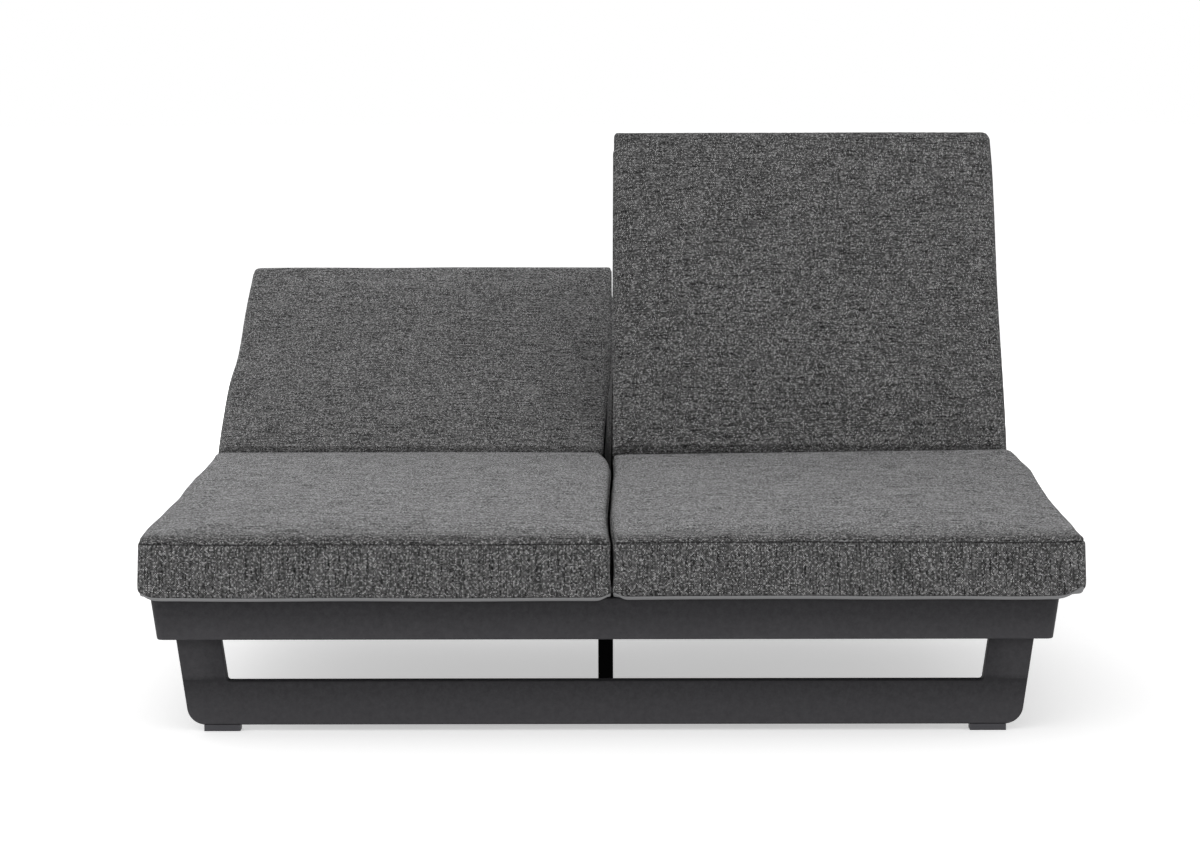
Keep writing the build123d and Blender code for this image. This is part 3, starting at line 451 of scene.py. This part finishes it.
swelling = dict(
    pressure=2.5, cap=0.0045, frames=20, quality=5, mass=0.3, stretch=12, shear=6, bend=0.4, pinStiffness=2,
    pinHeight=0.03, pins=(0.35, 0.7, 1.0), pinSlack=0.3, fullFrom=0.13, boxing=1.2,
)
seams = dict(
    depth=0.0028, lowDepth=0.5, width=0.0020, stretch=1.3, pucker=0.0007, reach=0.012, creaseLength=0.030,
    creasePatch=0.22,
)

reclines = {j["name"].split("_")[0]: j for j in frame["joints"] if j["name"].endswith("_recline")}
hinge = Vector(reclines["left"]["pos_m"])


def smooth(t):
    # rises from 0 to 1 as 3t^2 - 2t^3, level at both ends
    t = np.clip(t, 0, 1)
    return t * t * (3 - 2 * t)


def along(t, stops):
    # straight lines between the stops, averaged over a few places so that no kink is left
    places, values = np.array(stops).T
    return sum(np.interp(t + step, places, values) for step in (-0.03, -0.015, 0, 0.015, 0.03)) / 5


def lines(length, spacing, near=(0, 0.003, 0.0065, 0.0105, 0.015, 0.021, 0.029, 0.040)):
    # grid lines that crowd towards both ends, with even steps between
    edge = np.array(near)
    count = max(2, int(round((length - 2 * edge[-1]) / spacing)))
    middle = np.linspace(edge[-1], length - edge[-1], count + 1)[1:-1]
    return np.concatenate([edge, middle, (length - edge)[::-1]])


def boxGrid(across, along, up):
    # the six faces of a box as grids, welded where they meet: returns points, quads and each quad's face
    def sheet(first, second, fixed, axis, flip):
        a, b = np.meshgrid(first, second, indexing="ij")
        parts = [a, b]
        parts.insert(axis, np.full_like(a, fixed))
        n, m = a.shape
        index = np.arange(n * m).reshape(n, m)
        quads = np.stack([index[:-1, :-1], index[1:, :-1], index[1:, 1:], index[:-1, 1:]], -1).reshape(-1, 4)
        return np.stack(parts, -1).reshape(-1, 3), quads[:, ::-1] if flip else quads

    sheets = [
        sheet(across, along, up[-1], 2, False), sheet(across, along, up[0], 2, True),
        sheet(across, up, along[0], 1, False), sheet(across, up, along[-1], 1, True),
        sheet(along, up, across[0], 0, True), sheet(along, up, across[-1], 0, False),
    ]
    points, quads, face, start = [], [], [], 0
    for number, (p, q) in enumerate(sheets):
        points.append(p)
        quads.append(q + start)
        face.append(np.full(len(q), number))
        start += len(p)
    points, quads, face = np.concatenate(points), np.concatenate(quads), np.concatenate(face)
    _, first, back = np.unique(
        np.round(points * 1e6).astype(np.int64), axis=0, return_index=True, return_inverse=True
    )
    return points[first], back.reshape(-1)[quads], face


def ripple(where, seed, count, wavelength):
    # sum of sine waves in fixed seeded directions, from -1 to 1
    rng = np.random.default_rng(seed)
    total = np.zeros(len(where))
    for _ in range(count):
        heading = rng.uniform(0, 2 * np.pi)
        length = wavelength * rng.uniform(0.6, 1.6)
        total += np.sin(2 * np.pi * (where[:, 0] * np.cos(heading) + where[:, 1] * np.sin(heading)) / length
                        + rng.uniform(0, 2 * np.pi))
    return total / count


def insetOf(p, c, length):
    # how far a point of the plain box lies inside its outline, seen from above
    return np.minimum(c["width"] / 2 - np.abs(p[:, 0]), np.minimum(p[:, 1], length - p[:, 1]))


def roundCorners(p, c, length, outwards):
    # the plan's corners become quarter circles
    half = c["width"] / 2
    x, y = p[:, 0], p[:, 1]
    r = np.where(outwards > 0, c["outerRound"], c["innerRound"])
    vx, vy = x - np.clip(x, r - half, half - r), y - np.clip(y, r, length - r)
    far = np.hypot(vx, vy)
    squeeze = np.where(far > 0, np.maximum(np.abs(vx), np.abs(vy)) / np.maximum(far, 1e-9), 1)
    return x + vx * (squeeze - 1), y + vy * (squeeze - 1)


def wayOut(p, c, length):
    # the direction out of the plan, full on the boxing and fading inwards over the reach
    half, reach = c["width"] / 2, c["reach"]
    wx, wy = (q - np.clip(q, low, high) for q, low, high in (
        (p[:, 0], reach - half, half - reach), (p[:, 1], reach, length - reach)))
    push = np.maximum(np.abs(wx), np.abs(wy)) / reach
    size = np.maximum(np.hypot(wx, wy), 1e-9)
    return wx / size * push, wy / size * push


def topHeight(p, c, length, seed):
    # what the top adds to the plain height: the roll, then a gentle slope from the edge, a low crown and a sway
    inset = insetOf(p, c, length)
    over = np.clip(inset / c["rollWidth"], 0, 1)
    roll = c["roll"] * np.clip(1 - (1 - over) ** c["rollPower"], 0, 1) ** 0.5
    slope = c["fall"] * (1 - np.exp(-(inset / c["fallWidth"]) ** 2))
    dome = c["crown"] * (1 - (2 * p[:, 0] / c["width"]) ** 2) * (1 - (2 * p[:, 1] / length - 1) ** 4)
    sway = c["sway"] * ripple(p[:, :2], seed, 6, c["swayLength"]) * smooth(inset / c["swayReach"])
    return roll + slope + dome + sway


def endDrop(p, c, piece, outwards, toEnd):
    # the free end hangs over the apron, and its lower corners curve up
    half = c["width"] / 2
    sagTop, sagLow = piece["sag"]
    drop = -(sagLow + (sagTop - sagLow) * p[:, 2] / c["height"]) * smooth(1 - toEnd / c["sagReach"])
    for lift, liftReach, toEdge in (
        (*piece["corner"], half * (1 - outwards)), (c["innerLift"], c["innerLiftReach"], half * (1 + outwards)),
    ):
        nearness = smooth(1 - np.hypot(toEdge, toEnd) / liftReach) ** c["cornerPower"]
        drop = drop + lift * nearness * np.clip(1 - p[:, 2] / c["cornerHeight"], 0, 1)
    return drop


def cushionForm(p, c, piece, foldTan):
    # p is a point of the plain box: x across, y along, z up. The long edges follow the piece's outer and inner
    # lists, the boxing bulges, the top rises over its roll, and the fold's end leans with the plane that halves
    # the fold
    half, length, side, seed = c["width"] / 2, piece["length"], piece["side"], piece["seed"]
    foldAtEnd = piece["part"] == "seat"
    z = p[:, 2]
    outwards = p[:, 0] * side / half
    toFold = (length - p[:, 1]) if foldAtEnd else p[:, 1]
    nearFold = smooth((c["foldSoft"] - toFold) / c["foldSoft"])
    low = np.clip(z / c["lining"], 0, 1)
    rise = np.clip((z - c["lining"]) / (c["height"] - c["lining"]), 0, 1)
    x, y = roundCorners(p, c, length, outwards)
    nx, ny = wayOut(p, c, length)
    free = smooth((outwards + c["freeFrom"]) / c["freeFade"])
    curve = rise ** c["bulgePower"]
    bulge = 4 * c["outerBulge"] * curve * (1 - curve) * (1 - nearFold)
    tuck = c["lining"] * (np.sin(low * np.pi / 2) - 1)
    way = np.stack([p[:, 1] + p[:, 0], z * 0.5], -1)
    edgeWave = c["edgeWave"] * ripple(way, seed + 7, 4, c["edgeWaveLength"])
    x = x + nx * (tuck + (bulge + edgeWave) * free)
    y = y + ny * (tuck + bulge + edgeWave * c["endWave"] * (1 - nearFold))
    # long edges: the outer list holds over the whole height, the inner one only above where the sides touch
    plain = side * (c["apart"] + half) + c["shift"]
    centre = along(toFold, touching[piece["part"]])
    touch = side * (plain - side * half - centre) - c["meetGap"]
    share = smooth((rise - c["meetFrom"]) / c["meetFade"])
    x = x + side * along(toFold, piece["outer"]) * (1 + outwards) / 2
    x = x - side * (touch + (along(toFold, piece["inner"]) - touch) * share) * (1 - outwards) / 2
    # height: the lining's round below, then the boxing and the top, which rises towards the fold
    onTop = (z > c["height"] - 1e-6).astype(float)
    swell = along(outwards * half, piece["rise"]) * np.exp(-(toFold / c["foldRise"]) ** 2)
    z = np.where(z < c["lining"], c["lining"] * (1 - np.cos(low * np.pi / 2)), z)
    z = z + onTop * topHeight(p, c, length, seed) + swell * p[:, 2] / c["height"]
    z = z + endDrop(p, c, piece, outwards, length - toFold)
    rim = smooth(1 - insetOf(p, c, length) / c["rimWaveReach"]) * (1 - nearFold)
    z = z + c["rimWave"] * ripple(p[:, :2], seed + 9, 4, c["rimWaveLength"]) * rim
    # lean of the fold's end: a point over the hinge moves by its height times the half angle's tangent
    cut = (c["lift"] + z) * foldTan + c["gap"] / 2
    y = y * (length - cut) / length if foldAtEnd else cut + y * (length - cut) / length
    return np.stack([x, y, z], -1)


def weaveMap(p, c, length, face, quads):
    # metres along the slubbed yarn and across it: across the cushion on top, upright on the boxing; towards
    # each edge of the top the fall is added, so that the yarns keep their width over the roll
    fallen = (np.clip(p[:, 2] - c["height"], 0, 1))[:, None]
    fallen = np.concatenate([-fallen * p[:, :1] * 2 / c["width"], fallen * (1 - 2 * p[:, 1:2] / length)], 1)
    corner = p[quads]
    onTop = face[:, None] < 2
    upScale, sideScale = weave["boxingScale"]
    u = np.where(onTop, corner[..., 0] + fallen[quads][..., 0], corner[..., 2] * upScale)
    side = np.where(face[:, None] < 4, corner[..., 0], corner[..., 1]) * sideScale
    v = np.where(onTop, corner[..., 1] + fallen[quads][..., 1], side)
    return np.stack([u, v + face[:, None] * weave["faceStep"]], -1).reshape(-1, 2)


def meshFrom(name, points, quads, uv, box, split):
    mesh = bpy.data.meshes.new(name)
    mesh.from_pydata(points.tolist(), [], quads.tolist())
    layer = mesh.uv_layers.new(name="weave")
    layer.data.foreach_set("uv", uv.astype(np.float32).ravel())
    writeVectors(mesh, "box", box)
    mesh.materials.append(fabric)
    mesh.materials.append(underside)
    heights = box[quads][..., 2].mean(1)
    mesh.polygons.foreach_set("material_index", (heights < split).astype(np.int32))
    mesh.polygons.foreach_set("use_smooth", np.ones(len(quads), bool))
    mesh.update()
    made = bpy.data.objects.new(name, mesh)
    scene.collection.objects.link(made)
    return made


def readValues(rows, key, count):
    values = np.zeros(count * 3, np.float32)
    rows.foreach_get(key, values)
    return values.reshape(-1, 3).astype(float)


def readPoints(mesh):
    return readValues(mesh.vertices, "co", len(mesh.vertices))


def writePoints(mesh, points):
    mesh.vertices.foreach_set("co", points.astype(np.float32).ravel())
    mesh.update()


def writeVectors(mesh, name, values):
    kept = mesh.attributes.get(name) or mesh.attributes.new(name, "FLOAT_VECTOR", "POINT")
    kept.data.foreach_set("vector", values.astype(np.float32).ravel())


def swellCloth(made, s, c, piece, box):
    # Cloth with pressure and no gravity; then the seams and corners stay, the boxing moves a little and the
    # top moves in full, never past the cap
    still = made.vertex_groups.new(name="still")
    held = np.clip(1 - box[:, 2] / s["pinHeight"], 0, 1)
    for weight in s["pins"]:
        still.add([int(i) for i in np.nonzero(held >= weight - s["pinSlack"])[0]], weight, "REPLACE")
    cloth = made.modifiers.new("swell", "CLOTH")
    settings = cloth.settings
    settings.quality = s["quality"]
    settings.mass = s["mass"]
    settings.tension_stiffness = settings.compression_stiffness = s["stretch"]
    settings.shear_stiffness = s["shear"]
    settings.bending_stiffness = s["bend"]
    settings.use_pressure = True
    settings.uniform_pressure_force = s["pressure"]
    settings.effector_weights.gravity = 0
    settings.vertex_group_mass = "still"
    settings.pin_stiffness = s["pinStiffness"]
    cloth.collision_settings.use_collision = False
    rest = readPoints(made.data)
    for number in range(1, s["frames"] + 1):
        scene.frame_set(number)
    moved = readPoints(made.evaluated_get(bpy.context.evaluated_depsgraph_get()).to_mesh()) - rest
    made.modifiers.remove(cloth)
    made.vertex_groups.remove(still)
    scene.frame_set(1)
    far = np.linalg.norm(moved, axis=1)
    print("  swelled by", np.round(far.mean() * 1000, 2), "mm, at most", np.round(far.max() * 1000, 2))
    inset = insetOf(box, c, piece["length"])
    up = np.clip(box[:, 2] / c["height"], 0, 1)
    onBoxing = s["boxing"] * up * (1 - up)
    share = np.where((up > 0.999) & (inset >= 1e-4), smooth(inset / s["fullFrom"]), onBoxing)
    moved *= (share * s["cap"] * np.tanh(far / s["cap"]) / np.maximum(far, 1e-9))[:, None]
    writePoints(made.data, rest + moved)


def subdivide(made):
    fine = made.modifiers.new("fine", "SUBSURF")
    fine.levels = fine.render_levels = 1
    mesh = bpy.data.meshes.new_from_object(made.evaluated_get(bpy.context.evaluated_depsgraph_get()))
    made.modifiers.clear()
    old, made.data = made.data, mesh
    name = old.name
    bpy.data.meshes.remove(old)
    mesh.name = name


def sewSeams(made, s, c, piece):
    # a groove along the top seam and the lining's seam, with small puckers across it that fade with distance;
    # "sewn" keeps each point's distances above the top seam and above the lining's seam and, on the top, from
    # the fold of a back, or as a negative number from the free end of a seat
    mesh, length, seed = made.data, piece["length"], piece["seed"]
    box = readValues(mesh.attributes["box"].data, "vector", len(mesh.vertices))
    points, normals = readPoints(mesh), readValues(mesh.vertex_normals, "vector", len(mesh.vertices))
    inset = insetOf(box, c, length)
    onTop = box[:, 2] > c["height"] - 1e-4
    above = np.where(onTop, inset * s["stretch"], box[:, 2] - c["height"])
    aboveLow = np.where(box[:, 2] < 1e-4, -inset - c["lining"], box[:, 2] - c["lining"])
    groove = np.exp(-(above / s["width"]) ** 2) + s["lowDepth"] * np.exp(-(aboveLow / s["width"]) ** 2)
    way = np.stack([box[:, 0] + box[:, 1], box[:, 0] - box[:, 1]], -1)
    crease = ripple(way, seed + 3, 6, s["creaseLength"]) * (0.5 + 0.5 * ripple(way, seed + 4, 4, s["creasePatch"]))
    pucker = s["pucker"] * crease * np.exp(-np.abs(above) / s["reach"])
    writePoints(mesh, points + normals * (pucker - s["depth"] * groove)[:, None])
    fromEnd = np.where(onTop, box[:, 1], length) * (1 if piece["part"] == "back" else -s["stretch"])
    writeVectors(mesh, "sewn", np.stack([above, aboveLow, fromEnd], -1))
    # the side towards the other back lies in deep shade near the fold
    isInner = (box[:, 0] * piece["side"] < 1e-4 - c["width"] / 2) & (box[:, 2] < c["height"] - 1e-4)
    shade = isInner * smooth((c["shade"] - box[:, 1]) / c["shadeFade"]) * (piece["part"] == "back")
    mesh.attributes.new("shaded", "FLOAT", "POINT").data.foreach_set("value", shade.astype(np.float32))


def makeCushion(piece, c):
    # built flat in its own place, then turned about the hinge with the backrest
    length, side, isSeat = piece["length"], piece["side"], piece["part"] == "seat"
    up = np.array([0, 0.003, c["lining"], *c["layers"], c["height"]])
    across = lines(c["width"], c["spacing"]) - c["width"] / 2
    box, quads, face = boxGrid(across, lines(length, c["spacing"]), up)
    fold = math.radians(-reclines["left" if side < 0 else "right"]["range_deg"][0])
    points = cushionForm(box, c, piece, math.tan(fold / 2))
    uv = weaveMap(points, c, length, face, quads) + piece["seed"] * 0.113
    made = meshFrom(piece["name"], points, quads, uv, box, c["lining"])
    swellCloth(made, swelling, c, piece, box)
    subdivide(made)
    sewSeams(made, seams, c, piece)
    x, y, z = readPoints(made.data).T
    turn = 0 if isSeat else fold
    x, y, z = x + c["shift"] + side * (c["width"] / 2 + c["apart"]), y - length * isSeat, z + c["lift"]
    writePoints(made.data, np.stack([
        x, hinge.y + y * math.cos(turn) - z * math.sin(turn), hinge.z + y * math.sin(turn) + z * math.cos(turn),
    ], -1))
    return made, fold / 2


for piece in pieces:
    made, foldHalf = makeCushion(piece, cushion)
    sideName = "left" if piece["side"] < 0 else "right"
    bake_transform(made)
    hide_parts(f"{sideName}_{piece['part']}_cushion")
    print(piece["name"], "vertices", len(made.data.vertices))


floor = dict(radius=40.0, sides=96, card=0.84, lift=0.48)


def floorFinish(w):
    # white card: it takes the shadow, and is lifted to white for the camera and in reflections
    f = Finish("studioFloor")
    card = f.shader("ShaderNodeBsdfDiffuse", Color=(w["card"],) * 3)
    lift = f.shader("ShaderNodeEmission", Color=(1, 1, 1), Strength=w["lift"])
    both = f.node("ShaderNodeAddShader", {0: card, 1: lift})
    return f.done(f.node("ShaderNodeMixShader", {0: f.seen(), 1: card, 2: both}))


def makeFloor(w):
    turn = np.linspace(0, 2 * np.pi, w["sides"], endpoint=False)
    ring = w["radius"] * np.stack([np.cos(turn), np.sin(turn), np.zeros(w["sides"])], -1)
    mesh = bpy.data.meshes.new("floor")
    mesh.from_pydata(ring.tolist(), [], [list(range(w["sides"]))])
    mesh.materials.append(floorFinish(w))
    made = bpy.data.objects.new("floor", mesh)
    scene.collection.objects.link(made)


studio = dict(ambient=0.74, lamps=[
    dict(name="overhead", size=(5.0, 4.0), place=(0.0, 0.8, 3.6), aim=(0.0, 0.0, 0.2), power=8),
    dict(name="front", size=(4.0, 2.5), place=(-1.5, -5.0, 2.6), aim=(0.0, -0.5, 0.4), power=26),
    dict(name="behind", size=(5.0, 1.6), place=(-2.2, 5.0, 1.9), aim=(-0.3, -0.3, 0.3), power=160),
])


def makeStudio(s):
    # an even white room: dimmer as a light than it looks to the camera
    f = Finish("studio", bpy.data.worlds.new("studio"))
    scene.world = f.owner
    light, white = (f.shader("ShaderNodeBackground", Color=(1, 1, 1), Strength=x) for x in (s["ambient"], 1.0))
    f.done(f.node("ShaderNodeMixShader", {0: f.seen(), 1: light, 2: white}), "ShaderNodeOutputWorld")
    for lamp in s["lamps"]:
        data = bpy.data.lights.new(lamp["name"], "AREA")
        data.shape, (data.size, data.size_y), data.energy = "RECTANGLE", lamp["size"], lamp["power"]
        made = bpy.data.objects.new(lamp["name"], data)
        scene.collection.objects.link(made)
        place = Vector(lamp["place"])
        turn = (Vector(lamp["aim"]) - place).to_track_quat("-Z", "Y").to_matrix().to_4x4()
        made.matrix_world = Matrix.Translation(place) @ turn
        made.visible_camera = False
        made.visible_glossy = False


makeFloor(floor)
makeStudio(studio)
print("studio ready")
